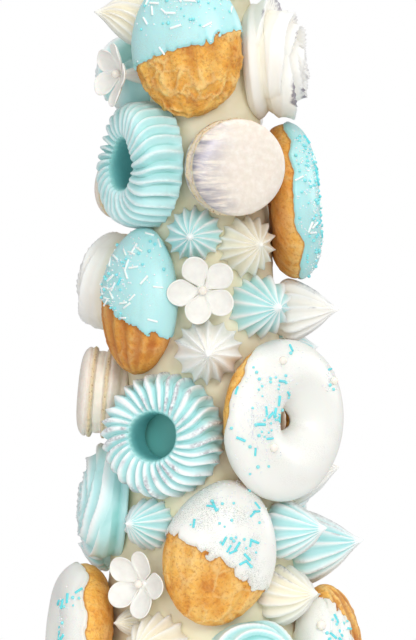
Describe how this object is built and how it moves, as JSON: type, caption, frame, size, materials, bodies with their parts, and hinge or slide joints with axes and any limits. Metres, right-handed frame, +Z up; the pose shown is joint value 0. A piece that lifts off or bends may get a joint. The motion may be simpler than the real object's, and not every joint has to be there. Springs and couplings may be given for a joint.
{
  "type": "candy cone tower",
  "caption": "Cone coated in cream icing and covered with iced doughnuts, madeleines, macarons, meringue rings, roses and kisses and sugar flowers, on a round board.",
  "frame": {"origin": "centre of the cake board's underside", "axes": "+Z up the cone; -Y is the front, the side with the pearl macaron and the middle flower; +X is to the right seen from the front"},
  "size_m": [0.224, 0.224, 0.4311],
  "materials": {
    "cream_icing": "soft matt icing and meringue",
    "white_icing": "white icing and meringue, satin",
    "blue_icing": "pale blue icing and meringue, satin",
    "macaron_shell": "smooth baked shell with a pearl brush mark",
    "board_wrap": "white wrapped board, satin"
  },
  "bodies": {
    "root": {"cake_board": "board_wrap", "icing_cone": "cream_icing", "kiss_blue_top": "blue_icing", "kiss_cream_upper_left": "cream_icing", "madeleine_blue_top": "blue_icing", "rosette_white_upper_right": "white_icing", "flower_upper_left": "white_icing", "rosette_blue_upper_left": "blue_icing", "ring_blue_upper": "blue_icing", "macaron_pearl": "macaron_shell", "macaron_left_upper": "macaron_shell", "doughnut_blue": "blue_icing", "kiss_blue_middle": "blue_icing", "kiss_cream_middle": "cream_icing", "flower_middle": "white_icing", "kiss_blue_right": "blue_icing", "kiss_white_right": "white_icing", "madeleine_blue_left": "blue_icing", "rosette_white_left": "white_icing", "kiss_white_middle": "white_icing", "macaron_left_lower": "macaron_shell", "doughnut_white_front": "white_icing", "ring_blue_lower": "blue_icing", "kiss_white_far_right": "white_icing", "rosette_blue_left": "blue_icing", "kiss_blue_lower_left": "blue_icing", "kiss_blue_lower_right": "blue_icing", "madeleine_white": "white_icing", "kiss_blue_large": "blue_icing", "kiss_blue_far_left": "blue_icing", "flower_lower_left": "white_icing", "kiss_cream_lower_right": "cream_icing", "kiss_blue_behind_right": "blue_icing", "madeleine_lower_right": "white_icing", "kiss_cream_bottom": "cream_icing", "kiss_cream_low_left": "cream_icing", "doughnut_white_lower_left": "white_icing", "rosette_blue_bottom": "blue_icing", "kiss_white_foot_left": "white_icing", "kiss_blue_foot_right": "blue_icing", "kiss_white_crown_front": "white_icing", "kiss_blue_crown_right": "blue_icing", "kiss_white_crown_back_right": "white_icing", "kiss_cream_crown_back_left": "cream_icing", "kiss_blue_crown_left": "blue_icing", "rosette_blue_back_top": "blue_icing", "ring_white_back": "white_icing", "macaron_back": "macaron_shell", "doughnut_white_back": "white_icing", "kiss_blue_back_right": "blue_icing", "kiss_blue_back_left": "blue_icing", "ring_blue_back": "blue_icing", "madeleine_blue_back": "blue_icing", "madeleine_white_back": "white_icing", "doughnut_blue_back": "blue_icing", "kiss_white_back_low": "white_icing", "kiss_cream_back_foot": "cream_icing", "kiss_white_tip": "white_icing"}
  },
  "joints": []
}
